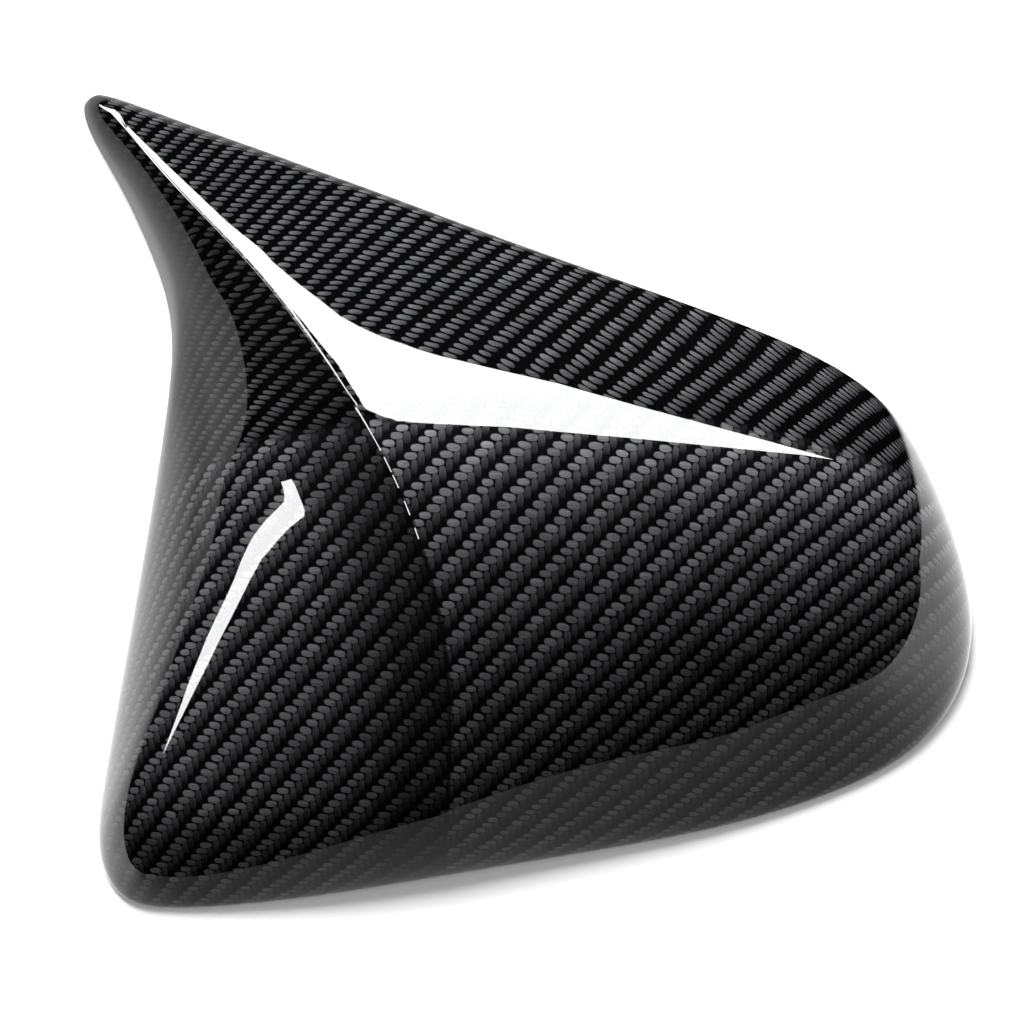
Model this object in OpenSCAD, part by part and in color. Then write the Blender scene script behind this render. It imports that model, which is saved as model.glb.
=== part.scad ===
// Wing mirror cover with a horn-shaped inboard end.
// One moulded shell, open underneath, lying on its flat rim.
// Frame: millimetres, origin under the middle of the outline at the rim
// plane, +X towards the rounded outboard end, +Y towards the edge the horn
// rises past, +Z up out of the rim, away from the hollow side.

/* [Overall size] */
// Length over everything, horn side to outboard end
cover_w = 256; // [235:1:275]
// Depth over everything, lower rim to horn tip
cover_d = 249; // [232:1:256]
// Height of the ridge above the rim plane
cover_h = 81; // [70:1:92]

/* [Moulding] */
// Wall thickness of the shell
wall = 2.4; // [1.8:0.1:2.8]
// Small bevel where the outer wall meets the rim face
rim_bevel = 0.7; // [0.4:0.1:1]

/* [Form lines] */
// Plan width of the soft ridge along the shoulder
ridge_soft = 12; // [8:1:16]
// Plan width of the soft crest along the wing panel
crest_soft = 3.5; // [2:0.5:7]
// Plan y of the point where ridge and crease meet, as drawn
ridge_y = -10; // [-14:1:-6]

/* [Facets] */
// Rays drawn per station of the outline
rays_per_station = 4; // [2:1:4]
// Rings drawn from the middle to the rim
rings = 20; // [12:1:20]

/* [Hidden] */

// Outline of the rim, stations anticlockwise seen from above, starting at
// the foot of the crease: lower edge, outboard end, back edge, horn tip,
// scooped inboard edge, lower inboard corner. Millimetres as drawn.
outline = [
    [-20,-110], [16,-104], [50,-98], [75,-91], [96,-83], [114,-72],
    [126,-53], [128,-32], [120,-5], [110,17],
    [89,27], [67,32], [39,40], [-3,58], [-48,83], [-75,101], [-104,118],
    [-130,132],
    [-131,121], [-118,100], [-110,82], [-103,65], [-100,47], [-102,22],
    [-106,-18], [-111,-54], [-115,-84], [-117,-103], [-110,-118],
    [-96,-120], [-60,-117]];
st_foot = 0;   // station at the foot of the crease
st_tip = 17;   // station at the horn tip
ns = len(outline);

// For each station: plan distance over which the wall turns into the roof
reach = [16,30,44,52,50,45, 40,36,30,20, 12,10,11,12,13,13,12, 10,
    12,14,18,24,30,32, 30,26,20,14,8, 5,8];
// For each station: plan distance of the wing crest from the rim
crest_in = [6,0,0,0,0,0, 0,0,0,0, 0,0,0,0,0,0,0, 0,
    6,9,14,20,27,31, 36,29,21,14,13, 14,14];
// For each station: extra slope outside the wing crest
crest_fall = [.1,0,0,0,0,0, 0,0,0,0, 0,0,0,0,0,0,0, 0,
    .3,.4,.45,.5,.5,.5, .5,.5,.5,.5,.6, .8,.6];

// Crease: plan x at evenly spaced y stations
crease_y0 = -113; crease_dy = 40;
crease_x = [-19,-15,-27,-50,-73,-104,-129];
// Step down beside the crease on the wing side, and its plan width
step_h = [.3,3,5,3,2,1.5,1];
step_w = [12,12,10,9,8,6,5];
// Scooped inboard edge, by the same y stations: reach of its wall, distance
// of the wing crest from it, and the extra slope outside that crest
edge_reach = [14,20,32,32,15,8,5];
edge_crest = [12,18,33,34,20,7,4];
edge_fall = [.5,.5,.5,.55,.5,.3,.2];

// Roof: stations along x
roof_x0 = -130; roof_dx = 43;
ridge_z = [44,61,80,86,84,66,40];                  // height of the ridge line
ridge_at = [0,0,0,0,0,-2,-6];                      // its y against ridge_y
front_s = [.13,.17,.25,.30,.30,.28,.25];           // slope towards the front
front_c = [.0016,.0020,.0030,.0038,.0042,.0045,.0045]; // and its crown
back_s = [.26,.29,.28,.30,.33,.33,.33];            // slope towards the back
back_c = [0,0,0,.0006,.0008,.0010,.0010];          // and its crown
drawn_h = 81.12;                                   // ridge as drawn

// Cubic spline weights
function w4(f) = [pow(1-f,3), 3*f*f*f-6*f*f+4, -3*f*f*f+3*f*f+3*f+1, f*f*f]/6;
// Closed spline through a ring of stations
function ring(P, u) = let (n = len(P), i = floor(u), w = w4(u-i))
    w[0]*P[(i-1+n)%n] + w[1]*P[(i+n)%n] + w[2]*P[(i+1)%n] + w[3]*P[(i+2)%n];
// Open spline that meets its first and last value and runs on straight
function ext(V, k) = k < 0 ? 2*V[0]-V[1]
    : k > len(V)-1 ? 2*V[len(V)-1]-V[len(V)-2] : V[k];
function line(V, t) = let (n = len(V))
    t <= 0 ? V[0]+(V[1]-V[0])*t
    : t >= n-1 ? V[n-1]+(V[n-1]-V[n-2])*(t-n+1)
    : let (i = floor(t), w = w4(t-i))
      w[0]*ext(V,i-1)+w[1]*ext(V,i)+w[2]*ext(V,i+1)+w[3]*ext(V,i+2);
// Hinge: 0 on one side, t on the other, rounded over w
function hinge(t, w) = (t+sqrt(t*t+w*w))/2;

p_foot = ring(outline, st_foot);
p_tip = ring(outline, st_tip);
function crease_raw(y) = line(crease_x, (y-crease_y0)/crease_dy);
e_tip = p_tip[0]-crease_raw(p_tip[1]);
e_foot = p_foot[0]-crease_raw(p_foot[1]);
function crease(y) = crease_raw(y)
    + max(0, (y-ridge_y)/(p_tip[1]-ridge_y))*e_tip
    + max(0, (y-ridge_y)/(p_foot[1]-ridge_y))*e_foot;
pole = [crease_raw(ridge_y), ridge_y];

// Height of the roof at a plan point, side 1 main panel, -1 wing panel
function roof(x, y, side) = let (
    s = (x-roof_x0)/roof_dx,
    t = y-ridge_y-line(ridge_at, s),
    f = hinge(-t, ridge_soft), b = hinge(t, ridge_soft),
    ty = (y-crease_y0)/crease_dy,
    d = max(0, crease(y)-x),
    step = side < 0 ? max(0, line(step_h, ty))*(1-exp(-d/line(step_w, ty))) : 0)
    line(ridge_z, s) - line(front_s, s)*f - line(front_c, s)*f*f
    - line(back_s, s)*b - line(back_c, s)*b*b - step;

// Station of the inboard edge that lies at a given y, found by halving
function edge_u(y, a = st_tip, b = 28.5, k = 18) = let (m = (a+b)/2)
    k == 0 ? m : ring(outline, m)[1] > y ? edge_u(y, m, b, k-1)
    : edge_u(y, a, m, k-1);

// Wall profile: 0 and upright at the rim, 1 and level where the roof begins
function turn(a) = sqrt(1-pow(1-min(1, max(0, a)), 3));

nr = ns*rays_per_station;
us = [for (i = [0:nr-1]) i/rays_per_station];
rho = [for (j = [0:rings]) 1-pow(1-j/rings, 1.6)];
rim = [for (u = us) ring(outline, u)];
tang = [for (u = us) let (v = ring(outline, u+0.001)-ring(outline, u+ns-0.001))
    v/norm(v)];
// Bend of the rays that run up and down the crease
function bend(p, r) = crease(pole[1]+r*(p[1]-pole[1]))-(pole[0]+r*(p[0]-pole[0]));
bend_tip = [for (r = rho) bend(p_tip, r)];
bend_foot = [for (r = rho) bend(p_foot, r)];

// Distance of the rim from the pole, square to the rim
away = [for (i = [0:nr-1]) let (o = rim[i]-pole)
    abs(o[0]*tang[i][1]-o[1]*tang[i][0])];
tip_away = away[st_tip*rays_per_station];
tip_reach = ring(reach, st_tip);

function shell_point(i, j) = let (
    u = us[i], o = rim[i]-pole, r = rho[j],
    side = u < st_tip ? 1 : -1,
    uf = min(u, ns-u),
    x = pole[0]+r*o[0]+exp(-pow((u-st_tip)/2.5, 2))*bend_tip[j]
        +exp(-pow(uf/3, 2))*bend_foot[j],
    y = pole[1]+r*o[1],
    ty = (y-crease_y0)/crease_dy,
    // distance inside the rim along this ray
    d = (1-r)*away[i],
    // distance inside the scooped inboard edge
    eu = edge_u(y), ep = ring(outline, eu),
    et = ring(outline, eu+0.001)-ring(outline, eu-0.001),
    de = max(0, x-ep[0])*abs(et[1])/norm(et),
    // 0 beside the inboard edge, 1 along the lower edge of the wing
    m0 = min(1, max(0, (u-22.5)/2)), m = m0*m0*(3-2*m0),
    by_ray = turn(d/ring(reach, u)),
    by_edge = turn(de/line(edge_reach, ty)),
    turned = j == rings ? 0 : side > 0 ? by_ray*by_edge
        : (1-m)*turn((1-r)*tip_away/tip_reach)*by_edge+m*by_ray,
    dc = max(0, crease(y)-x),
    fall = side > 0 ? 0 : (1-exp(-pow(dc/4, 2)))*(
        (1-m)*line(edge_fall, ty)*hinge(line(edge_crest, ty)-de, crest_soft)
        +m*ring(crest_fall, u)*hinge(ring(crest_in, u)-d, crest_soft)),
    h = max(3, roof(x, y, side)-fall))
    [x, y, rim_bevel+(h-rim_bevel)*turned];

xs = [for (p = rim) p[0]];
ys = [for (p = rim) p[1]];
kx = cover_w/(max(xs)-min(xs));
ky = cover_d/(max(ys)-min(ys));
kz = cover_h/drawn_h;
cx = (max(xs)+min(xs))/2;
cy = (max(ys)+min(ys))/2;
function placed(p) = [(p[0]-cx)*kx, (p[1]-cy)*ky, p[2]*kz];

// Outer skin, one row of points per ray, from the pole to the rim
P = [for (i = [0:nr-1]) [for (j = [0:rings]) placed(shell_point(i, j))]];
function unit(v) = v/norm(v);
function nrm(i, j) = unit(cross(
    P[i][min(rings, j+1)]-P[i][j-1], P[(i+1)%nr][j]-P[(i+nr-1)%nr][j]));
ring1 = [for (i = [0:nr-1]) nrm(i, 1)];
function total(v, k = 0) = k >= len(v) ? [0,0,0] : v[k]+total(v, k+1);
pole_n = unit(total(ring1));
function out2(i) = let (t = P[(i+1)%nr][rings]-P[(i+nr-1)%nr][rings])
    unit([t[1], -t[0], 0]);

// Points: outer skin without its pole, bevel, inner rim, inner skin, poles
outer = [for (i = [0:nr-1]) for (j = [1:rings]) P[i][j]];
bevel = [for (i = [0:nr-1]) let (p = P[i][rings]-rim_bevel*out2(i)) [p[0], p[1], 0]];
inner = [for (i = [0:nr-1]) for (j = [1:rings])
    j == rings ? let (p = P[i][rings]-wall*out2(i)) [p[0], p[1], 0]
    : P[i][j]-wall*nrm(i, j)];
pts = concat(outer, bevel, inner, [P[0][0]], [P[0][0]-wall*pole_n]);
no = nr*rings; nb = no+nr; np = nb+nr*rings;
function A(i, j) = (i%nr)*rings+j-1;
function B(i) = no+i%nr;
function C(i, j) = nb+(i%nr)*rings+j-1;
faces = concat(
    [for (i = [0:nr-1]) [np, A(i+1, 1), A(i, 1)]],
    [for (i = [0:nr-1]) for (j = [1:rings-1]) each [
        [A(i,j), A(i+1,j), A(i+1,j+1)], [A(i,j), A(i+1,j+1), A(i,j+1)]]],
    [for (i = [0:nr-1]) each [
        [A(i,rings), A(i+1,rings), B(i+1)], [A(i,rings), B(i+1), B(i)]]],
    [for (i = [0:nr-1]) each [
        [B(i), B(i+1), C(i+1,rings)], [B(i), C(i+1,rings), C(i,rings)]]],
    [for (i = [0:nr-1]) for (j = [1:rings-1]) each [
        [C(i,j+1), C(i+1,j+1), C(i+1,j)], [C(i,j+1), C(i+1,j), C(i,j)]]],
    [for (i = [0:nr-1]) [np+1, C(i, 1), C(i+1, 1)]]);

module mirror_cover() {
    color([0.04, 0.04, 0.045])
    polyhedron(points = pts, faces = faces, convexity = 8);
}

mirror_cover();
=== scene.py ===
import math
import bpy
import numpy as np
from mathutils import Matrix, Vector


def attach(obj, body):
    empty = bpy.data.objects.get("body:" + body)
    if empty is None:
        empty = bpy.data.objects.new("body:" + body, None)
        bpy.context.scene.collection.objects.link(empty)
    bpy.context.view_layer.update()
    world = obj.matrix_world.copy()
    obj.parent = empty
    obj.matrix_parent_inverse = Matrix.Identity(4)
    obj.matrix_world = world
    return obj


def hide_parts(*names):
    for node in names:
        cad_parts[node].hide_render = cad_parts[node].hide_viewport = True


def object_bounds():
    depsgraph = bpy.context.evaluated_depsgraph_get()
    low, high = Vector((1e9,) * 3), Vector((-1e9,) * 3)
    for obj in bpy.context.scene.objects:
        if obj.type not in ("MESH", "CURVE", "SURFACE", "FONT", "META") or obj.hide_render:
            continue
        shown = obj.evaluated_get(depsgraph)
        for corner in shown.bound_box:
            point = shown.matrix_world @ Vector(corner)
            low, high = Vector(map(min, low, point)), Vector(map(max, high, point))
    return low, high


# ---------------------------------------------------------------------------
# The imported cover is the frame. Its one shell is replaced by a finer skin of
# the same shape, with the cloth under a clear coat.
# ---------------------------------------------------------------------------
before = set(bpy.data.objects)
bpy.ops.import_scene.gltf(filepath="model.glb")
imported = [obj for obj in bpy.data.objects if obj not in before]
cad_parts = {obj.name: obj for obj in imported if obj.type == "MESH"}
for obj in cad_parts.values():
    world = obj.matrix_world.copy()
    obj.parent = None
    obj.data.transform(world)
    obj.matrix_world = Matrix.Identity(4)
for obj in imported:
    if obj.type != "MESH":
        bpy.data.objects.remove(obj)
cad_lo, cad_hi = [np.array(v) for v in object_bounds()]

# ---------------------------------------------------------------------------
# Shape of the cover, in drawn millimetres
# ---------------------------------------------------------------------------
OUTLINE = np.array([(-20, -110), (16, -104), (50, -98), (75, -91), (96, -83), (114, -72),
                    (126, -53), (128, -32), (120, -5), (110, 17), (89, 27), (67, 32),
                    (39, 40), (-3, 58), (-48, 83), (-75, 101), (-104, 118), (-130, 132),
                    (-131, 121), (-118, 100), (-110, 82), (-103, 65), (-100, 47), (-102, 22),
                    (-106, -18), (-111, -54), (-115, -84), (-117, -103), (-110, -118), (-96, -120),
                    (-60, -117)], float)
N_ST = len(OUTLINE)
U_FOOT, U_TIP = 0.0, 17.0
REACH = [16, 30, 44, 52, 50, 45, 40, 36, 30, 20, 12, 10, 11, 12, 13, 13, 12, 10, 12, 14, 18, 24, 30, 32, 30, 26, 20, 14, 8, 5, 8]
CREST_IN = [6] + [0] * 17 + [6, 9, 14, 20, 27, 31, 36, 29, 21, 14, 13, 14, 14]
CREST_FALL = [.1] + [0] * 17 + [.3, .4, .45, .5, .5, .5, .5, .5, .5, .5, .6, .8, .6]
CREST_SOFT = 3.5
Y0, YSTEP = -113.0, 40.0
CREASE_X = [-19, -15, -27, -50, -73, -104, -129]
RIDGE_Y0 = -10.0
X0, XSTEP = -130.0, 43.0
RIDGE_Z = [44, 61, 80, 86, 84, 66, 40]
RIDGE_AT = [-10, -10, -10, -10, -10, -12, -16]
FRONT_S = [.13, .17, .25, .30, .30, .28, .25]
FRONT_C = [.0016, .0020, .0030, .0038, .0042, .0045, .0045]
BACK_S = [.26, .29, .28, .30, .33, .33, .33]
BACK_C = [0, 0, 0, .0006, .0008, .001, .001]
RIDGE_SOFT = 12.0
STEP_H = [0.3, 3, 5, 3, 2, 1.5, 1]
STEP_W = [12, 12, 10, 9, 8, 6, 5]
EDGE_REACH = [14, 20, 32, 32, 15, 8, 5]
EDGE_CREST = [12, 18, 33, 34, 20, 7, 4]
EDGE_FALL = [.5, .5, .5, .55, .5, .3, .2]
BEVEL = 0.7
WALL = 2.4
ROLL, ROLL_MAIN, ROLL_SIDE = 0.5, 6.0, 15.0


def w4(f):
    return ((1 - f) ** 3 / 6, (3 * f ** 3 - 6 * f ** 2 + 4) / 6, (-3 * f ** 3 + 3 * f ** 2 + 3 * f + 1) / 6, f ** 3 / 6)


def closed(table, u):
    """Closed cubic B-spline through the stations of a table."""
    p = np.asarray(table, float)
    n = len(p)
    u = np.asarray(u, float)
    i = np.floor(u).astype(int)
    w = w4(u - i)
    if p.ndim == 1:
        return sum(w[k] * p[(i + k - 1) % n] for k in range(4))
    return sum(w[k][..., None] * p[(i + k - 1) % n] for k in range(4))


def along(table, t):
    """Open cubic B-spline with natural ends, straight beyond them."""
    v = np.asarray(table, float)
    n = len(v)
    v = np.concatenate([[2 * v[0] - v[1]], v, [2 * v[-1] - v[-2]]])
    t = np.asarray(t, float)
    tc = np.clip(t, 0, n - 1)
    i = np.minimum(np.floor(tc).astype(int), n - 2)
    w = w4(tc - i)
    r = sum(w[k] * v[i + k] for k in range(4))
    lo = (v[2] - v[0]) / 2
    hi = (v[n + 1] - v[n - 1]) / 2
    return r + np.where(t < 0, t * lo, 0) + np.where(t > n - 1, (t - (n - 1)) * hi, 0)


def soft(t, w):
    return (t + np.sqrt(t * t + w * w)) / 2


def crisp(t, w):
    """Like soft, but it runs into its two straight sides sooner."""
    return w * np.logaddexp(0, t / w)


def turn(u):
    u = np.clip(u, 0, 1)
    return np.sqrt(1 - (1 - u) ** 3)


FOOT = closed(OUTLINE, U_FOOT)
TIP = closed(OUTLINE, U_TIP)
POLE = np.array([float(along(CREASE_X, (RIDGE_Y0 - Y0) / YSTEP)), RIDGE_Y0])
_uu = np.linspace(17, 28.5, 20001)
_o = closed(OUTLINE, _uu)
_t = closed(OUTLINE, _uu + 1e-3) - closed(OUTLINE, _uu - 1e-3)
_t /= np.linalg.norm(_t, axis=1)[:, None]
EDGE_Y, EDGE_X, EDGE_T = _o[::-1, 1], _o[::-1, 0], np.abs(_t[::-1, 1])


def crease(y):
    x = along(CREASE_X, (y - Y0) / YSTEP)
    e_tip = TIP[0] - along(CREASE_X, (TIP[1] - Y0) / YSTEP)
    e_foot = FOOT[0] - along(CREASE_X, (FOOT[1] - Y0) / YSTEP)
    f_tip = np.clip((y - RIDGE_Y0) / (TIP[1] - RIDGE_Y0), 0, None)
    f_foot = np.clip((y - RIDGE_Y0) / (FOOT[1] - RIDGE_Y0), 0, None)
    return x + f_tip * e_tip + f_foot * e_foot


def roof(x, y, fillet):
    s = (x - X0) / XSTEP
    t = y - along(RIDGE_AT, s)
    f, b = soft(-t, RIDGE_SOFT), soft(t, RIDGE_SOFT)
    z = along(RIDGE_Z, s) - along(FRONT_S, s) * f - along(FRONT_C, s) * f * f - along(BACK_S, s) * b - along(BACK_C, s) * b * b
    d = soft(crease(y) - x, fillet) if fillet > 2 else crisp(crease(y) - x, 0.45 * fillet)
    ty = (y - Y0) / YSTEP
    step = np.maximum(along(STEP_H, ty), 0) * (1 - np.exp(-d / along(STEP_W, ty)))
    # the horn's faces roll off a little towards the crease
    dm = x - crease(y)
    a = np.clip((y + 14.0) / 26.0, 0, 1)
    a = ROLL * a * a * (3 - 2 * a)
    z = z - a * np.where(dm > 0, np.exp(-np.abs(dm) / ROLL_MAIN), np.exp(-np.abs(dm) / ROLL_SIDE))
    return z - step, np.maximum(0, crease(y) - x), t


def tangents(u):
    t = closed(OUTLINE, u + 1e-3) - closed(OUTLINE, u - 1e-3)
    return t / np.linalg.norm(t, axis=1)[:, None]


def skin(u, side, rho, fillet=0.7):
    """Points of the outer skin, one row a ray and one column a ring, and the distance behind the ridge."""
    edge, tan = closed(OUTLINE, u), tangents(u)
    ray = edge - POLE
    away = np.abs(ray[:, 0] * tan[:, 1] - ray[:, 1] * tan[:, 0])
    x = POLE[0] + rho[None, :] * ray[:, 0:1]
    y = POLE[1] + rho[None, :] * ray[:, 1:2]

    def bend(q):
        return crease(POLE[1] + rho * (q[1] - POLE[1])) - (POLE[0] + rho * (q[0] - POLE[0]))

    near_tip = np.exp(-((u - U_TIP) / 2.5) ** 2)
    near_foot = np.exp(-(np.minimum(np.abs(u), np.abs(u - N_ST)) / 3.0) ** 2)
    x = x + near_tip[:, None] * bend(TIP)[None, :] + near_foot[:, None] * bend(FOOT)[None, :]
    main = np.repeat(side[:, None], len(rho), 1) > 0
    dr = (1 - rho)[None, :] * away[:, None]
    r_tip = TIP - POLE
    t_tip = tangents(np.array([U_TIP]))[0]
    dt = (1 - rho)[None, :] * abs(r_tip[0] * t_tip[1] - r_tip[1] * t_tip[0]) + 0 * dr
    ty = (y - Y0) / YSTEP
    dl = np.maximum(0, x - np.interp(y, EDGE_Y, EDGE_X)) * np.interp(y, EDGE_Y, EDGE_T)
    wl = turn(dl / along(EDGE_REACH, ty))
    m = np.clip((u - 22.5) / 2, 0, 1)
    m = (m * m * (3 - 2 * m))[:, None]
    z, dc, behind = roof(x, y, fillet)
    fl = along(EDGE_FALL, ty) * soft(along(EDGE_CREST, ty) - dl, CREST_SOFT)
    fr = closed(CREST_FALL, u)[:, None] * soft(closed(CREST_IN, u)[:, None] - dr, CREST_SOFT)
    near = 1 - np.exp(-(dc / 4) ** 2)
    wr = turn(dr / closed(REACH, u)[:, None])
    wall = np.where(main, wr * wl, (1 - m) * turn(dt / closed(REACH, U_TIP)) * wl + m * wr)
    fall = np.where(main, 0, ((1 - m) * fl + m * fr) * near)
    h = np.maximum(z - fall, 3.0)
    wall[:, rho >= 1] = 0
    return np.stack([x, y, BEVEL + (h - BEVEL) * wall], -1), behind


def row_normals(p, k_tip):
    """Unit normals of a closed fan of rays."""
    du = np.roll(p, -1, 0) - np.roll(p, 1, 0)
    dr = np.empty_like(p)
    dr[:, 1:-1] = p[:, 2:] - p[:, :-2]
    dr[:, 0] = p[:, 1] - p[:, 0]
    dr[:, -1] = p[:, -1] - p[:, -2]
    n = np.cross(dr, du)
    n /= np.maximum(np.linalg.norm(n, axis=2), 1e-12)[..., None]
    return n


# Rays: close together beside the crease, where its small round edge is
fine = np.array([.004, .009, .015, .022, .031, .042])
reg = np.arange(0, N_ST * 18) / 18.0
reg = reg[(np.abs(reg - U_TIP) > .05) & (np.minimum(reg, N_ST - reg) > .05)]
U = np.unique(np.concatenate([reg, [0.0, U_TIP], U_TIP + fine, U_TIP - fine, fine, N_ST - fine]).round(6))
SIDE = np.where(U <= U_TIP, 1, -1)
NU = len(U)
K_TIP = int(np.argmin(np.abs(U - U_TIP)))

# Rings: even steps of length and turning along the average profile
_r = np.concatenate([np.linspace(0, .98, 500)[:-1], 1 - np.linspace(.02 ** .5, 0, 400) ** 2])
_p, _b = skin(U[::9], SIDE[::9], _r)
_d = np.diff(_p, axis=1)
_l = np.linalg.norm(_d, axis=2)
_e = _d / np.maximum(_l, 1e-9)[..., None]
_a = np.zeros_like(_l)
_a[:, 1:] = np.arccos(np.clip((_e[:, 1:] * _e[:, :-1]).sum(2), -1, 1))
_cost = (_l + 14 * _a).mean(0)
_s = np.concatenate([[0], np.cumsum(_cost)])
near_pole = np.array([.0011, .0024, .0042, .0066, .0098, .014, .0195, .027, .037])
_even = np.interp(np.linspace(0, _s[-1], 88), _s, _r)
RHO = np.concatenate([[0.0], near_pole, _even[_even > .048]])
RHO[-1] = 1.0
NR = len(RHO)
P, BEHIND = skin(U, SIDE, RHO)

# Placed like the frame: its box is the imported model's box
_lo, _hi = P.reshape(-1, 3).min(0), P.reshape(-1, 3).max(0)
K = np.array([(cad_hi[0] - cad_lo[0]) * 1000 / (_hi[0] - _lo[0]), (cad_hi[1] - cad_lo[1]) * 1000 / (_hi[1] - _lo[1]),
              cad_hi[2] * 1000 / _hi[2]])
C = np.array([(_lo[0] + _hi[0]) / 2, (_lo[1] + _hi[1]) / 2, 0])


def placed(p):
    return (p - C) * K / 1000.0


# ---------------------------------------------------------------------------
# Cloth coordinates: the two thread directions laid over the skin, as near to
# true length as a curved surface lets them be
# ---------------------------------------------------------------------------
def lay_cloth(p, n):
    """Least-squares lengths along the two thread directions on a closed fan of rays whose first ring is one point."""
    nu, nr = p.shape[:2]
    idx = 1 + np.arange(nu)[:, None] * (nr - 1) + np.arange(nr - 1)[None, :]
    idx = np.concatenate([np.zeros((nu, 1), int), idx], 1)
    c = n[..., 2]
    ax = np.stack([-n[..., 1], n[..., 0], np.zeros_like(c)], -1)      # Z x n
    k = 1 / (1 + np.maximum(c, -.9))

    def carried(v):
        v = np.broadcast_to(np.array(v, float), n.shape)
        return v * c[..., None] + np.cross(ax, v) + ax * (k * (ax * v).sum(2))[..., None]

    tu, tv = carried((1, 0, 0)), carried((0, 1, 0))
    i_, j_, w_, bu, bv = [], [], [], [], []

    def edges(a, b, area):
        d = p[b] - p[a]
        length2 = np.maximum((d * d).sum(-1), 1e-9)
        i_.append(idx[a].ravel()); j_.append(idx[b].ravel())
        w_.append((area / length2).ravel())
        bu.append((((tu[a] + tu[b]) / 2) * d).sum(-1).ravel())
        bv.append((((tv[a] + tv[b]) / 2) * d).sum(-1).ravel())

    r = np.arange(nu)
    r1 = np.roll(r, -1)
    for ka, kb in ((slice(0, nr - 1), slice(1, nr)),):
        a, b = (r[:, None], np.arange(nr)[None, ka]), (r[:, None], np.arange(nr)[None, kb])
        along_ray = np.linalg.norm(p[b] - p[a], axis=-1)
        across = (np.linalg.norm(p[r1[:, None], b[1]] - p[b], axis=-1) + np.linalg.norm(p[r1[:, None], a[1]] - p[a], axis=-1)) / 2
        edges(a, b, along_ray * across + 1e-6)
    k1 = np.arange(1, nr)[None, :]
    a, b = (r[:, None], k1), (r1[:, None], k1)
    across = np.linalg.norm(p[b] - p[a], axis=-1)
    step = np.linalg.norm(p[a] - p[(r[:, None], k1 - 1)], axis=-1)
    edges(a, b, across * step + 1e-6)
    i_, j_, w_ = np.concatenate(i_), np.concatenate(j_), np.concatenate(w_)
    m = 1 + nu * (nr - 1)
    A = np.zeros((m, m))
    np.add.at(A, (i_, i_), w_); np.add.at(A, (j_, j_), w_)
    np.add.at(A, (i_, j_), -w_); np.add.at(A, (j_, i_), -w_)
    rhs = np.zeros((m, 2))
    for q, b in ((0, np.concatenate(bu)), (1, np.concatenate(bv))):
        np.add.at(rhs[:, q], j_, w_ * b); np.add.at(rhs[:, q], i_, -w_ * b)
    A[0, 0] += 1.0
    s = np.linalg.solve(A, rhs)
    s -= s[0]
    return s[idx]


UC = np.arange(0, N_ST * 4) / 4.0
SC = np.where(UC <= U_TIP, 1, -1)
_even_c = np.interp(np.linspace(0, _s[-1], 30), _s, _r)
RC = np.concatenate([[0.0], _even_c[1:]])
RC[-1] = 1.0
PC, _ = skin(UC, SC, RC)
NC = row_normals(PC, 0)
NC[:, 0] = NC[:, 1].mean(0) / np.linalg.norm(NC[:, 1].mean(0))
CLOTH = lay_cloth(PC, NC)
OFF = CLOTH - (PC[..., :2] - POLE)
# onto the fine grid: linear along a ray, smooth across the rays
_f = np.interp(RHO, RC, np.arange(len(RC)))
_k = np.minimum(_f.astype(int), len(RC) - 2)
_w = (_f - _k)[None, :, None]
OFF = OFF[:, _k] * (1 - _w) + OFF[:, _k + 1] * _w
_g = U * 4.0
_i = np.floor(_g).astype(int)
_w = (_g - _i)[:, None, None]
OFF = OFF[_i % len(UC)] * (1 - _w) + OFF[(_i + 1) % len(UC)] * _w
THREAD = P[..., :2] - POLE + OFF          # millimetres along the weft and along the warp

# ---------------------------------------------------------------------------
# Mesh
# ---------------------------------------------------------------------------
verts, faces, mats = [], [], []
uv_weave, uv_bake, crown = [], [], []      # one entry a vertex


def add_rows(points, weave, bake, behind):
    """Adds a ring of vertices and returns their numbers."""
    n0 = len(verts)
    verts.extend(points.tolist())
    uv_weave.extend(weave.tolist())
    uv_bake.extend(bake.tolist())
    crown.extend(behind.tolist())
    return np.arange(n0, n0 + len(points))


def strip(a, b, mat, flip=False):
    """Quads between two rings of the same number of vertices."""
    n = len(a)
    for k in range(n):
        q = (int(a[k]), int(b[k]), int(b[(k + 1) % n]), int(a[(k + 1) % n]))
        faces.append(q[::-1] if flip else q)
        mats.append(mat)


def widen(a, b, pick, mat, flip=False):
    """Triangles between a coarse ring a, whose vertices face the vertices pick of a fine ring b."""
    n = len(b)
    for k in range(len(a)):
        k2 = (k + 1) % len(a)
        s, e = pick[k], pick[k2] if k2 else pick[0] + n
        mid = (s + e) // 2
        for j in range(s, mid):
            t = (int(a[k]), int(b[j % n]), int(b[(j + 1) % n]))
            faces.append(t[::-1] if flip else t); mats.append(mat)
        t = (int(a[k]), int(b[mid % n]), int(a[k2]))
        faces.append(t[::-1] if flip else t); mats.append(mat)
        for j in range(mid, e):
            t = (int(a[k2]), int(b[j % n]), int(b[(j + 1) % n]))
            faces.append(t[::-1] if flip else t); mats.append(mat)


# bake layout: each ray keeps its own direction and its true length
_edge = closed(OUTLINE, U) - POLE
DIRN = _edge / np.linalg.norm(_edge, axis=1)[:, None]
ARC = np.concatenate([np.zeros((NU, 1)), np.cumsum(np.linalg.norm(np.diff(P, axis=1), axis=2), axis=1)], 1)
BAKE = DIRN[:, None, :] * ARC[..., None]

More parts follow.
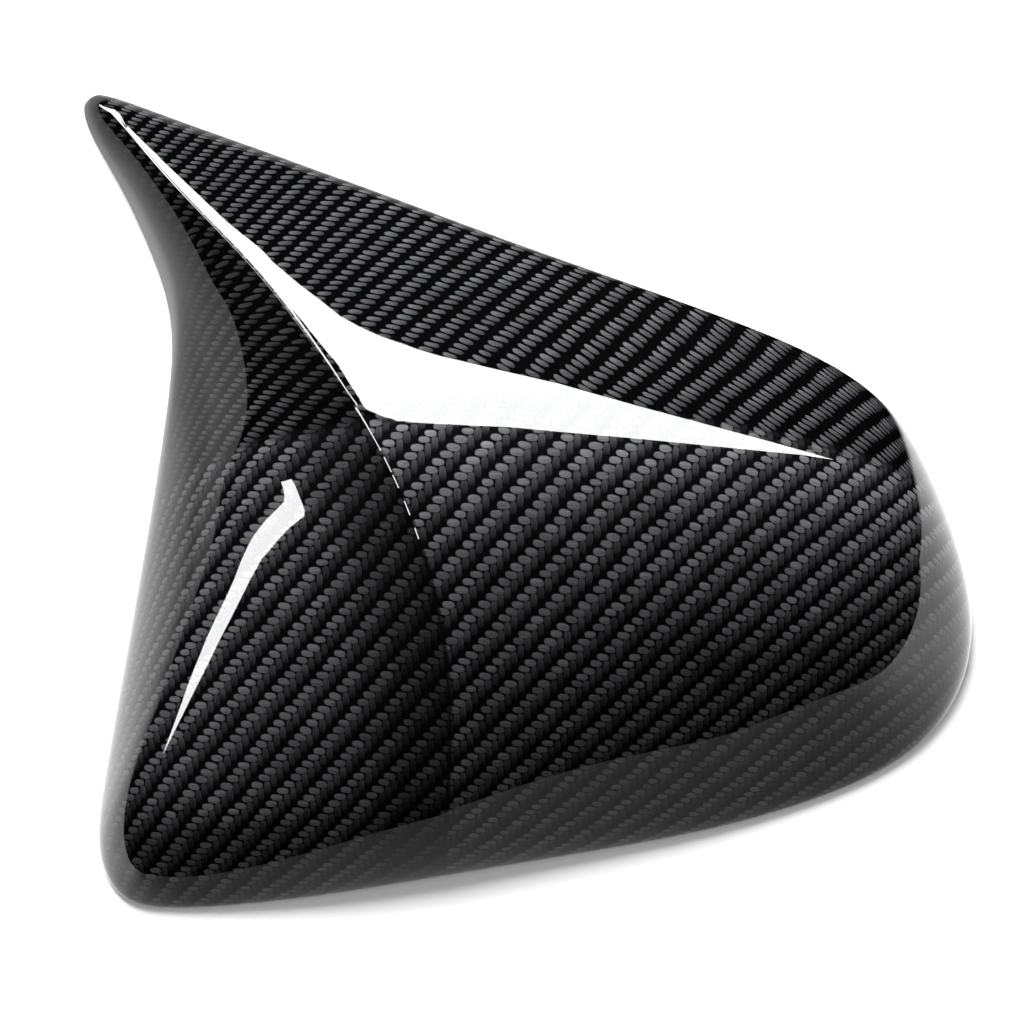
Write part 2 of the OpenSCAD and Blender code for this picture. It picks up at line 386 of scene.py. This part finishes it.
pole = add_rows(P[0:1, 0], THREAD[0:1, 0], BAKE[0:1, 0], BEHIND[0:1, 0])
n_pole = len(near_pole) + 1
coarse = [k for k in range(0, NU, 3) if abs(k - K_TIP) > 2 and 2 < k < NU - 2]
coarse = sorted(set(coarse + [0, K_TIP]))
prev = None
for r in range(1, NR):
    ks = coarse if r < n_pole - 1 else list(range(NU))
    ring = add_rows(P[ks, r], THREAD[ks, r], BAKE[ks, r], BEHIND[ks, r])
    if prev is None:
        for k in range(len(ks)):
            faces.append((int(pole[0]), int(ring[k]), int(ring[(k + 1) % len(ks)]))); mats.append(0)
    elif len(prev) != len(ring):
        widen(prev, ring, coarse, 0)
    else:
        strip(prev, ring, 0)
    prev = ring
outer_rim = prev
# small round edge at the bottom of the outer side
TAN = tangents(U)
OUT = np.stack([TAN[:, 1], -TAN[:, 0]], 1)
if ((closed(OUTLINE, U) - POLE) * OUT).sum(1).mean() < 0:
    OUT = -OUT


def rim_ring(inset, z):
    xy = closed(OUTLINE, U) - OUT * inset
    return np.concatenate([xy, np.full((NU, 1), z)], 1)


len_rim = ARC[:, -1:]
for k, a in enumerate(np.radians([18, 36, 54, 72, 90])):
    pts = rim_ring(BEVEL * (1 - math.cos(a)), BEVEL * (1 - math.sin(a)))
    add = BEVEL * a
    ring = add_rows(pts, THREAD[:, -1] + DIRN * add, DIRN * (len_rim + add), BEHIND[:, -1])
    strip(prev, ring, 0)
    prev = ring
# flat underside of the rim and the round to the inner side
for inset, z in ((1.2, 0.0), (1.7, 0.0), (2.0, 0.03), (2.25, 0.16), (2.4, 0.4)):
    ring = add_rows(rim_ring(inset, z), THREAD[:, -1], DIRN * (len_rim + 1.1 + inset * 1.0), BEHIND[:, -1])
    strip(prev, ring, 1)
    prev = ring
# inner side: a plain offset of the skin, with a softer crease
UI_PICK = [k for k in range(0, NU, 3) if min(abs(k - K_TIP), k, NU - k) > 8]
UI_PICK = sorted(set(UI_PICK + [0, K_TIP]))
UI, SI = U[UI_PICK], SIDE[UI_PICK]
rho_i = np.interp(np.linspace(0, _s[-1], 46), _s, _r)
rho_i[-1] = 1.0
PI, BI = skin(UI, SI, rho_i, fillet=7.0)
NI = row_normals(PI, 0)
NI[:, 0] = NI[:, 1].mean(0) / np.linalg.norm(NI[:, 1].mean(0))
IN = PI - WALL * NI
ARCI = np.concatenate([np.zeros((len(UI), 1)), np.cumsum(np.linalg.norm(np.diff(PI, axis=1), axis=2), axis=1)], 1)
BAKE_I = DIRN[UI_PICK][:, None, :] * ARCI[..., None]
INNER_SHIFT = 2000.0                        # the inner side's island is set apart further down
keep_i = [k for k in range(1, len(rho_i) - 1) if IN[:, k, 2].min() > 0.8]
ring = add_rows(IN[:, keep_i[-1]], BAKE_I[:, keep_i[-1]], BAKE_I[:, keep_i[-1]] + INNER_SHIFT, BI[:, keep_i[-1]])
widen(ring, prev, UI_PICK, 1, flip=True)
prev = ring
for k in keep_i[-2::-1]:
    if k < 2:
        continue
    ring = add_rows(IN[:, k], BAKE_I[:, k], BAKE_I[:, k] + INNER_SHIFT, BI[:, k])
    strip(prev, ring, 1)
    prev = ring
centre = add_rows(IN[0:1, 0], BAKE_I[0:1, 0], BAKE_I[0:1, 0] + INNER_SHIFT, BI[0:1, 0])
for k in range(len(prev)):
    faces.append((int(prev[k]), int(centre[0]), int(prev[(k + 1) % len(prev)]))); mats.append(1)

_drawn = np.array(verts)
verts = placed(_drawn)
me = bpy.data.meshes.new("mirror_cover_shell")
me.from_pydata(verts.tolist(), [], faces)
me.update()
me.polygons.foreach_set("use_smooth", np.ones(len(faces), bool))
me.polygons.foreach_set("material_index", np.array(mats, np.int32))
uv_weave, uv_bake, crown = np.array(uv_weave), np.array(uv_bake), np.array(crown)
loops = np.empty(len(me.loops), np.int32)
me.loops.foreach_get("vertex_index", loops)
layer = me.uv_layers.new(name="OFBake")
is_inner = uv_bake[:, 0] > 1000
b = uv_bake.copy()
b[is_inner] -= INNER_SHIFT
o = b[~is_inner]
lo, hi = o.min(0), o.max(0)
size = (hi - lo).max()
b[~is_inner] = 0.004 + 0.992 * (b[~is_inner] - lo) / size
i_ = b[is_inner]
ilo, ihi = i_.min(0), i_.max(0)
b[is_inner] = np.array([0.80, 0.80]) + 0.19 * (i_ - ilo) / (ihi - ilo).max()
layer.data.foreach_set("uv", b[loops].astype(np.float32).ravel())
layer = me.uv_layers.new(name="Cloth")
layer.data.foreach_set("uv", uv_weave[loops].astype(np.float32).ravel())
att = me.attributes.new("behind_ridge", "FLOAT", "POINT")
att.data.foreach_set("value", crown.astype(np.float32))
att = me.attributes.new("past_crease", "FLOAT", "POINT")
att.data.foreach_set("value", (_drawn[:, 0] - crease(_drawn[:, 1])).astype(np.float32))
me.validate()
shell = bpy.data.objects.new("mirror_cover_shell", me)
bpy.context.collection.objects.link(shell)


# ---------------------------------------------------------------------------
# Materials
# ---------------------------------------------------------------------------
class Net:
    """A small helper that writes a chain of maths nodes as expressions."""

    def __init__(self, tree):
        self.t = tree

    def put(self, sock, v):
        if isinstance(v, bpy.types.NodeSocket):
            self.t.links.new(v, sock)
        else:
            sock.default_value = v

    def m(self, op, a, b=None, c=None, clamp=False):
        n = self.t.nodes.new("ShaderNodeMath")
        n.operation = op
        n.use_clamp = clamp
        for s, v in zip(n.inputs, (a, b, c)):
            if v is not None:
                self.put(s, v)
        return n.outputs[0]

    def add(self, a, b): return self.m("ADD", a, b)
    def sub(self, a, b): return self.m("SUBTRACT", a, b)
    def mul(self, a, b): return self.m("MULTIPLY", a, b)
    def div(self, a, b): return self.m("DIVIDE", a, b)
    def mad(self, a, b, c): return self.m("MULTIPLY_ADD", a, b, c)
    def mod(self, a, b): return self.m("FLOORED_MODULO", a, b)
    def floor(self, a): return self.m("FLOOR", a)
    def mx(self, a, b): return self.m("MAXIMUM", a, b)
    def mn(self, a, b): return self.m("MINIMUM", a, b)
    def power(self, a, b): return self.m("POWER", a, b)
    def abs(self, a): return self.m("ABSOLUTE", a)

    def ramp(self, v, lo, hi, a=0.0, b=1.0, smooth=True):
        n = self.t.nodes.new("ShaderNodeMapRange")
        n.interpolation_type = "SMOOTHSTEP" if smooth else "LINEAR"
        for s, x in zip(n.inputs[:5], (v, lo, hi, a, b)):
            self.put(s, x)
        return n.outputs[0]

    def mix(self, f, a, b):
        return self.mad(f, self.sub(b, a), a)

    def vec(self, x, y, z=0.0):
        n = self.t.nodes.new("ShaderNodeCombineXYZ")
        for s, v in zip(n.inputs, (x, y, z)):
            self.put(s, v)
        return n.outputs[0]

    def noise(self, v, scale, detail=2.0, rough=.5):
        n = self.t.nodes.new("ShaderNodeTexNoise")
        n.noise_dimensions = "3D"
        self.t.links.new(v, n.inputs["Vector"])
        n.inputs["Scale"].default_value = scale
        n.inputs["Detail"].default_value = detail
        n.inputs["Roughness"].default_value = rough
        return n

    def dice(self, v):
        n = self.t.nodes.new("ShaderNodeTexWhiteNoise")
        n.noise_dimensions = "3D"
        self.t.links.new(v, n.inputs["Vector"])
        return n


def new_material(name):
    mat = bpy.data.materials.new(name)
    mat.use_nodes = True
    return mat, mat.node_tree, mat.node_tree.nodes["Principled BSDF"]


REPEAT = 8.8           # millimetres in one repeat of the cloth


def cloth_pattern(g, u, v, steps, over, half_l, half_h, lean, tip, seed):
    """Tone (0 gap to 1 lit tow) and height of a twill with that many tows to a repeat. The weft goes over `over` tows
    and under the rest, one step along in each row. lean slants the lit tows, tip is the strength of the painted
    highlight at their left end."""
    x, y = g.mul(u, float(steps)), g.mul(v, float(steps))
    row = g.floor(y)
    tone, high = None, None
    for dj in (-1, 0, 1):
        j = g.add(row, float(dj))
        ly = g.sub(g.sub(y, j), 0.5)
        sh = g.add(g.sub(x, j), steps / 2 - over / 2)
        lx = g.sub(g.mod(sh, float(steps)), steps / 2)
        cell = g.floor(g.div(sh, float(steps)))
        d = g.dice(g.vec(cell, j, float(seed)))
        r1 = d.outputs["Value"]
        sep = g.t.nodes.new("ShaderNodeSeparateColor")
        g.t.links.new(d.outputs["Color"], sep.inputs[0])
        r2, r3 = sep.outputs[0], sep.outputs[1]
        lx = g.add(lx, g.mad(r2, 0.30, -0.15))
        lyl = g.add(g.mad(lx, lean, ly), g.mad(r3, 0.16, -0.08))
        grow = g.mad(r3, 0.14, 0.94)
        e = g.add(g.power(g.abs(g.div(lx, g.mul(grow, half_l))), 2.6), g.power(g.abs(g.div(lyl, g.mul(grow, half_h))), 2.4))
        h = g.sub(1.0, e)
        # a lit tow with a painted highlight: painted brighter at its upper left end and along its upper edge, each tow
        # with its own strength
        bright = g.mad(r1, 0.42, 0.76)
        painted_tow_highlight = g.mad(lx, -tip / half_l, g.mad(lyl, 0.24 / half_h, 1.0))
        t = g.mul(g.mul(bright, painted_tow_highlight), g.ramp(h, 0.0, 0.50))
        tone = t if tone is None else g.mx(tone, t)
        high = h if high is None else g.mx(high, h)
    high = g.m("MAXIMUM", high, 0.0)
    # warp tows, seen to the lower right of the lit ones
    col = g.floor(x)
    lx = g.sub(g.sub(x, col), 0.5)
    s2 = g.sub(g.add(g.sub(col, float(over)), 1.0), y)
    t_ = g.mod(s2, float(steps))
    cell = g.floor(g.div(s2, float(steps)))
    d = g.dice(g.vec(col, cell, float(seed) + 7.3))
    r1 = d.outputs["Value"]
    long_ = (steps - over) * 0.34
    e = g.add(g.power(g.abs(g.div(lx, 0.56)), 2.6), g.power(g.abs(g.div(g.sub(t_, long_ * 0.95), g.mad(r1, 0.3, long_))), 2.2))
    hw = g.mx(g.sub(1.0, e), 0.0)
    # painted highlight: each warp tow is painted bright at one end and fades darker along it
    painted_warp_highlight = g.ramp(t_, 0.3, long_ * 1.8, 1.0, 0.08, smooth=False)
    warp = g.mul(g.mul(g.ramp(hw, 0.0, 0.45), painted_warp_highlight), g.mad(r1, 0.20, 0.30))
    return tone, warp, high, hw


cloth, tree, bsdf = new_material("lacquered_cloth")
g = Net(tree)
uvn = tree.nodes.new("ShaderNodeUVMap")
uvn.uv_map = "Cloth"
# the tows wander a little
wander = g.noise(uvn.outputs[0], 0.16, 1.0)
wsep = tree.nodes.new("ShaderNodeSeparateColor")
tree.links.new(wander.outputs["Color"], wsep.inputs[0])
sep = tree.nodes.new("ShaderNodeSeparateXYZ")
tree.links.new(uvn.outputs[0], sep.inputs[0])
u = g.add(g.mul(sep.outputs[0], 1 / REPEAT), g.mad(wsep.outputs[0], 0.10, -0.05))
v = g.add(g.mul(sep.outputs[1], 1 / REPEAT), g.mad(wsep.outputs[1], 0.10, -0.05))
att_n = tree.nodes.new("ShaderNodeAttribute")
att_n.attribute_name = "behind_ridge"
back = g.ramp(att_n.outputs["Fac"], -1.0, 4.0)
att_c = tree.nodes.new("ShaderNodeAttribute")
att_c.attribute_name = "past_crease"
past = att_c.outputs["Fac"]
t1, w1, h1, hw1 = cloth_pattern(g, u, v, 5, 2, 0.98, 0.545, 0.10, 0.14, 1.0)
t2, w2, h2, hw2 = cloth_pattern(g, u, v, 7, 3, 1.62, 0.56, 0.42, 0.62, 3.0)
# behind the ridge the cloth is a second copy of the weave, painted darker with its warp tows left out: painted shade
# that evens out the stronger key light there
lit = g.mix(back, t1, g.mul(t2, 0.36))
warp = g.mix(back, w1, 0.0)
high = g.mix(back, h1, h2)
highw = g.mix(back, hw1, hw2)
# fibres
f1 = g.noise(g.vec(g.mul(u, 2.2), g.mul(v, 24.0), 0.0), 1.0, 1.0, .6)
f2 = g.noise(g.vec(g.mul(u, 24.0), g.mul(v, 2.2), 3.0), 1.0, 1.0, .6)
lit = g.mul(lit, g.mad(f1.outputs[0], 1.3, 0.35))
warp = g.mul(warp, g.mad(f2.outputs[0], 1.3, 0.35))
cover = g.ramp(high, 0.0, 0.10)
tone = g.mix(cover, warp, lit)
# slow changes of tone over the cloth
slow = g.noise(uvn.outputs[0], 0.05, 1.0)
tone = g.mul(tone, g.mad(slow.outputs[0], 0.5, 0.75))
# painted shade: the cloth is painted darker towards the crease on its inboard side, and the crease itself gets a
# painted thin dark shadow line
painted_crease_shade = g.mul(g.ramp(past, -34.0, -9.0), g.ramp(past, -0.3, 0.3, 1.0, 0.0))
# painted shadow line along the crease, in front of the ridge only
line = g.mul(g.ramp(g.abs(past), 0.2, 1.0, 1.0, 0.0), g.ramp(att_n.outputs["Fac"], -12.0, -2.0, 1.0, 0.0))
tone = g.mul(tone, g.mul(g.mad(painted_crease_shade, -0.60, 1.0), g.mad(line, -0.8, 1.0)))
# a painted floor of tone in the gaps, higher in front of the ridge than behind it, to even out the weaker key light on
# the front
tone = g.add(tone, g.mix(back, 0.026, 0.009))
col = tree.nodes.new("ShaderNodeCombineColor")
g.put(col.inputs[0], g.mul(tone, 0.185))
g.put(col.inputs[1], g.mul(tone, 0.186))
g.put(col.inputs[2], g.mul(tone, 0.198))
tree.links.new(col.outputs[0], bsdf.inputs["Base Color"])
rough = g.ramp(tone, 0.0, 0.8, 0.62, 0.42, smooth=False)
tree.links.new(rough, bsdf.inputs["Roughness"])
bsdf.inputs["Specular IOR Level"].default_value = 0.0
bsdf.inputs["Coat Weight"].default_value = 1.0
bsdf.inputs["Coat Roughness"].default_value = 0.012
bsdf.inputs["Coat IOR"].default_value = 1.5

# a slight relief of tows and fibres under the coat, which itself stays smooth
row_v = g.mul(sep.outputs[1], 1 / REPEAT)
fibre = g.noise(g.vec(g.mul(sep.outputs[0], 2.2 / REPEAT), g.mul(row_v, 24.0), 5.0), 1.0, 0.0)
crown = g.abs(g.sub(g.mod(g.mul(row_v, 5.0), 1.0), 0.5))
bump = tree.nodes.new("ShaderNodeBump")
bump.inputs["Strength"].default_value = 0.25
bump.inputs["Distance"].default_value = 0.00015
tree.links.new(g.mad(crown, -0.6, fibre.outputs[0]), bump.inputs["Height"])
tree.links.new(bump.outputs[0], bsdf.inputs["Normal"])

inner, tree, bsdf = new_material("satin_black_inside")
g = Net(tree)
geo = tree.nodes.new("ShaderNodeTexCoord")
n1 = g.noise(geo.outputs["Object"], 900.0, 2.0)
n2 = g.noise(geo.outputs["Object"], 18.0, 3.0)
tone = g.mad(n2.outputs[0], 0.012, 0.012)
col = tree.nodes.new("ShaderNodeCombineColor")
for k in range(3):
    g.put(col.inputs[k], tone)
tree.links.new(col.outputs[0], bsdf.inputs["Base Color"])
g.put(bsdf.inputs["Roughness"], g.mad(n1.outputs[0], 0.12, 0.40))
bump = tree.nodes.new("ShaderNodeBump")
bump.inputs["Strength"].default_value = 0.12
bump.inputs["Distance"].default_value = 0.0002
tree.links.new(n1.outputs[0], bump.inputs["Height"])
tree.links.new(bump.outputs[0], bsdf.inputs["Normal"])
me.materials.append(cloth)
me.materials.append(inner)

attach(shell, "root")
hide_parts("mirror_cover")

# ---------------------------------------------------------------------------
# Camera
# ---------------------------------------------------------------------------
scene = bpy.context.scene
EL = math.radians(68.0)
F_PX = 3630.0
TARGET = (np.array([-2.2, -15.7, 30.0]) - C) * K / 1000.0
BACK = np.array([0, -math.cos(EL), math.sin(EL)])
EYE = TARGET + BACK * 1.0
cam_data = bpy.data.cameras.new("camera")
cam_data.sensor_width = 36.0
cam_data.lens = F_PX / 1024.0 * 36.0
cam_data.clip_start, cam_data.clip_end = 0.05, 50.0
cam = bpy.data.objects.new("camera", cam_data)
cam.location = EYE
cam.rotation_euler = (math.pi / 2 - EL, 0, 0)
bpy.context.collection.objects.link(cam)
scene.camera = cam

# ---------------------------------------------------------------------------
# Studio: pale floor, white surround, softboxes that the clear coat mirrors
# ---------------------------------------------------------------------------
PP = placed(P)
PN = row_normals(PP, K_TIP)
PN[:, 0] = PN[:, 1].mean(0) / np.linalg.norm(PN[:, 1].mean(0))
RIGHT, UP = np.array([1.0, 0, 0]), np.array([0, math.sin(EL), math.cos(EL)])
_v = PP - EYE
_dep = -(_v @ BACK)
IMG = np.stack([512 + F_PX * (_v @ RIGHT) / _dep, 512 - F_PX * (_v @ UP) / _dep], -1)
_view = -_v / np.linalg.norm(_v, axis=2)[..., None]
SEEN = ((PN * _view).sum(2) > .05) & (RHO[None, :] > .005)
REFL = 2 * (PN * _view).sum(2)[..., None] * PN - _view
CREASE_D = P[..., 0] - crease(P[..., 1])         # positive on the main panel


def ladder(pairs, n=10.0, rows=4):
    """A grid of points between two edges that are given as pairs of points in the frame's pixels."""
    a = np.array([q[0] for q in pairs], float)
    b = np.array([q[1] for q in pairs], float)
    t = [0.0]
    for k in range(1, len(a)):
        m = max(1, int(math.ceil(max(np.linalg.norm(a[k] - a[k - 1]), np.linalg.norm(b[k] - b[k - 1])) / n)))
        t += list(k - 1 + (np.arange(m) + 1) / m)
    t = np.array(t)
    a, b = [np.stack([np.interp(t, np.arange(len(q)), q[:, c]) for c in (0, 1)], 1) for q in (a, b)]
    f = np.linspace(0, 1, rows + 1)[None, :, None]
    return a[:, None] * (1 - f) + b[:, None] * f


def mirrored(px, side, centre, facing):
    """Where the lines of sight through points of the 1024 px frame go after that side of the skin, on a plane."""
    ok = SEEN & (CREASE_D * side > 0.9) & ((np.arange(NU)[:, None] % 5 == 0) | (RHO[None, :] > .3))
    _img, _pp, _rf = IMG[ok], PP[ok], REFL[ok]
    centre, facing = np.array(centre, float), np.array(facing, float)
    facing /= np.linalg.norm(facing)
    out = []
    for p in px.reshape(-1, 2):
        d2 = ((_img - p) ** 2).sum(1)
        k = np.argsort(d2)[:24]
        w = np.exp(-d2[k] / (2 * (2.0 + d2[k][3])))
        q = (_img[k] - p)
        A = np.concatenate([np.ones((len(k), 1)), q], 1) * w[:, None]
        fit = np.linalg.lstsq(A, np.concatenate([_pp[k], _rf[k]], 1) * w[:, None], rcond=1e-3)[0][0]
        o, r = fit[:3], fit[3:] / np.linalg.norm(fit[3:])
        out.append(o + r * ((centre - o) @ facing) / max(r @ facing, .05))
    return np.array(out).reshape(*px.shape[:2], 3)


def card(name, grid, strength, colour=(1, 1, 1)):
    """A lit sheet through a grid of points, that only mirrors in the coat."""
    grid = np.asarray(grid, float)
    nr, nc = grid.shape[:2]
    m = bpy.data.meshes.new(name)
    quads = [(r * nc + c, r * nc + c + 1, (r + 1) * nc + c + 1, (r + 1) * nc + c) for r in range(nr - 1) for c in range(nc - 1)]
    m.from_pydata(grid.reshape(-1, 3).tolist(), [], quads)
    m.update()
    ob = bpy.data.objects.new(name, m)
    bpy.context.collection.objects.link(ob)
    mat = bpy.data.materials.new(name)
    mat.use_nodes = True
    t = mat.node_tree
    t.nodes.clear()
    e = t.nodes.new("ShaderNodeEmission")
    e.inputs["Strength"].default_value = strength
    e.inputs["Color"].default_value = (*colour, 1)
    out = t.nodes.new("ShaderNodeOutputMaterial")
    t.links.new(e.outputs[0], out.inputs[0])
    m.materials.append(mat)
    ob.visible_camera = False
    ob.visible_diffuse = False
    ob.visible_transmission = False
    ob.visible_shadow = False
    return ob


MAIN = [((131, 132.5), (130, 133.5)), ((140, 140), (140, 144)), ((160, 157.5), (160, 164)),
        ((180, 177), (180, 187)), ((200, 196), (200, 207)), ((220, 215), (220, 229)), ((240, 233), (240, 249)),
        ((260, 251), (260, 272)), ((280, 268), (280, 296)), ((300, 285), (300, 318)), ((320, 300), (320, 342)),
        ((340, 316), (340, 367)), ((360, 327), (355, 391)), ((380, 336), (362, 402)), ((400, 343), (368, 410)),
        ((420, 350), (385, 417.5)), ((440, 356), (415, 422.5)), ((460, 360.5), (440, 424)), ((480, 365.5), (470, 425.5)),
        ((508, 372), (508, 427.3)), ((560, 384), (560, 432)), ((640, 406.5), (640, 439)), ((768, 441), (768, 451.7)),
        ((800, 450), (800, 454.7)), ((833, 459.5), (833, 459.6))]
WING = [((281, 482), (291.4, 479)), ((282.5, 486), (294.5, 484.5)), ((283.6, 490), (297, 490)), ((284.5, 496), (300, 498)),
        ((284, 501.5), (303, 505)), ((280, 506), (304.6, 511)), ((271, 515), (304, 516)), ((266, 520), (299, 520)),
        ((258, 530), (288, 529)), ((251, 540), (278, 540)), ((241.6, 560), (261, 560)), ((234, 580), (250, 580)),
        ((225, 600), (240, 600)), ((215, 620), (230, 620)), ((206, 640), (219.6, 640)), ((198, 660), (210, 660)),
        ((190, 680), (200, 680)), ((183, 700), (190, 700)), ((163, 755), (163.1, 755))]


def towards(az, el):
    a, e = math.radians(az), math.radians(el)
    return np.array([math.cos(e) * math.cos(a), math.cos(e) * math.sin(a), math.sin(e)])


D_MAIN = towards(98, 46)
card("softbox_behind", mirrored(ladder(MAIN), 1, 2.4 * D_MAIN, D_MAIN), 24.0, (.962, .97, 1.0))
# close above the inboard panel, where each point of it mirrors another place
D_SIDE = towards(182, 50)
C_SIDE = np.array([-0.075, -0.03, 0.045]) + 0.062 * D_SIDE
card("softbox_side", mirrored(ladder(WING), -1, C_SIDE, D_SIDE), 22.0, (.985, .985, 1.0))
# a narrow strip light that the small round edge of the crease picks up
card("strip_light", [[2.4 * towards(a, e) for a in (132.6, 136.2)] for e in (3, 12, 20, 28, 36)], 24.0, (1.0, 1.0, 1.0))
# a dark flag close to the horn's tip, past which the softbox shows only as a thin line
FLAG = [((101, 98), (97, 100.5)), ((118, 106), (110, 112)), ((130, 112), (120, 121)), ((143, 119), (131, 131)),
        ((152, 127), (140, 139)), ((172, 145), (160, 157)), ((192, 165), (180, 176.5)), ((213, 184), (200, 195.5)),
        ((228, 206), (220, 214.5)), ((246, 233), (244, 236))]
_near = SEEN & (CREASE_D > 0.9) & (((IMG - np.array([150, 138])) ** 2).sum(2) < 900)
D_FLAG = REFL[_near].mean(0) / np.linalg.norm(REFL[_near].mean(0))
card("flag_tip", mirrored(ladder(FLAG), 1, PP[_near].mean(0) + 0.03 * D_FLAG, D_FLAG), 0.0)
# small sheets close above the crease, for the broken glint along its front part
_c = [np.concatenate([q[K_TIP, 2:40][::-1], q[0, 2:40]]) for q in (PP, REFL, IMG)]
_px = _c[2][:, 1]
_t = np.gradient(_c[0], axis=0)
_t /= np.maximum(np.linalg.norm(_t, axis=1), 1e-12)[:, None]
for k, (y0, y1) in enumerate([(408, 451), (457, 472), (475, 488), (501, 515), (528, 539)]):
    rows = []
    for y in np.linspace(y0, y1, 2 + (y1 - y0) // 6):
        j = int(np.searchsorted(_px, y))
        f = np.clip((y - _px[j - 1]) / (_px[j] - _px[j - 1]), 0, 1)
        o, r, t = [q[j - 1] * (1 - f) + q[j] * f for q in (_c[0], _c[1], _t)]
        r = r / np.linalg.norm(r)
        w = np.cross(r, t)
        w /= np.linalg.norm(w)
        rows.append([o + 0.03 * r - 0.0024 * w, o + 0.03 * r + 0.0024 * w])
    card("glint_%d" % k, rows, 24.0)
# the white table as the coat mirrors it
Z = -0.002
table = card("table_mirrored", [[(-6, -6, Z), (6, -6, Z)], [(-6, 6, Z), (6, 6, Z)]], 1.05)
# darker in front of the cover, in its shadow, and brightest at its outboard end
tree = table.data.materials[0].node_tree
g = Net(tree)
here = tree.nodes.new("ShaderNodeTexCoord")
sep = tree.nodes.new("ShaderNodeSeparateXYZ")
tree.links.new(here.outputs["Object"], sep.inputs[0])
px, py = sep.outputs[0], sep.outputs[1]
slant = g.div(px, g.add(g.abs(py), 0.05))
right = g.ramp(slant, 0.6, 1.7, 0.0, 1.5)
left = g.mul(g.ramp(slant, -0.8, -0.45, 1.0, 0.0), g.add(g.ramp(py, -0.10, 0.035, 1.7, 0.1, smooth=False), g.ramp(py, 0.05, 0.08, 0.0, 0.2)))
far_right = g.mul(g.ramp(px, 0.02, 0.07), g.ramp(py, 0.028, 0.040))
strength = g.mul(g.add(g.add(right, left), 0.42), g.mad(far_right, -1.0, 1.0))
tree.links.new(strength, [n for n in tree.nodes if n.type == "EMISSION"][0].inputs["Strength"])

# floor
m = bpy.data.meshes.new("floor")
m.from_pydata([(-6, -6, -.0004), (6, -6, -.0004), (6, 6, -.0004), (-6, 6, -.0004)], [], [(0, 1, 2, 3)])
floor = bpy.data.objects.new("floor", m)
bpy.context.collection.objects.link(floor)
fmat, ft, fb = new_material("floor")
fb.inputs["Base Color"].default_value = (.8, .8, .8, 1)
fb.inputs["Roughness"].default_value = 1.0
fb.inputs["Specular IOR Level"].default_value = 0.0
fb.inputs["Emission Color"].default_value = (1, 1, 1, 1)
fb.inputs["Emission Strength"].default_value = 0.05
m.materials.append(fmat)
floor.visible_glossy = False
floor.visible_diffuse = False

world = bpy.data.worlds.new("world")
scene.world = world
world.use_nodes = True
world.node_tree.nodes["Background"].inputs["Color"].default_value = (1, 1, 1, 1)
world.node_tree.nodes["Background"].inputs["Strength"].default_value = 0.13
world.cycles_visibility.glossy = False


def area(name, loc, aim, size, power, lit, colour=(1, 1, 1), size_y=None):
    """A softbox that lights only the object lit, and that no gloss mirrors."""
    d = bpy.data.lights.new(name, "AREA")
    d.shape = "RECTANGLE"
    d.size, d.size_y = size, size_y or size
    d.energy = power
    d.color = colour
    ob = bpy.data.objects.new(name, d)
    ob.location = loc
    ob.rotation_euler = (Vector(loc) - Vector(aim)).to_track_quat("Z", "Y").to_euler()
    bpy.context.collection.objects.link(ob)
    ob.visible_glossy = False
    only = bpy.data.collections.new("lit_by_" + name)
    only.objects.link(lit)
    ob.light_linking.receiver_collection = only
    return ob


area("key_behind", tuple(0.56 * towards(83, 44)), (0, 0, 0.03), 0.26, 6.6, shell)
area("floor_light", tuple(3.0 * towards(108, 61)), (0, 0, 0), 1.0, 135.0, floor)
area("overhead", (0, 0, 3.0), (0, 0, 0), 5.0, 60.0, floor)

scene.view_settings.view_transform = "Standard"
scene.view_settings.look = "None"
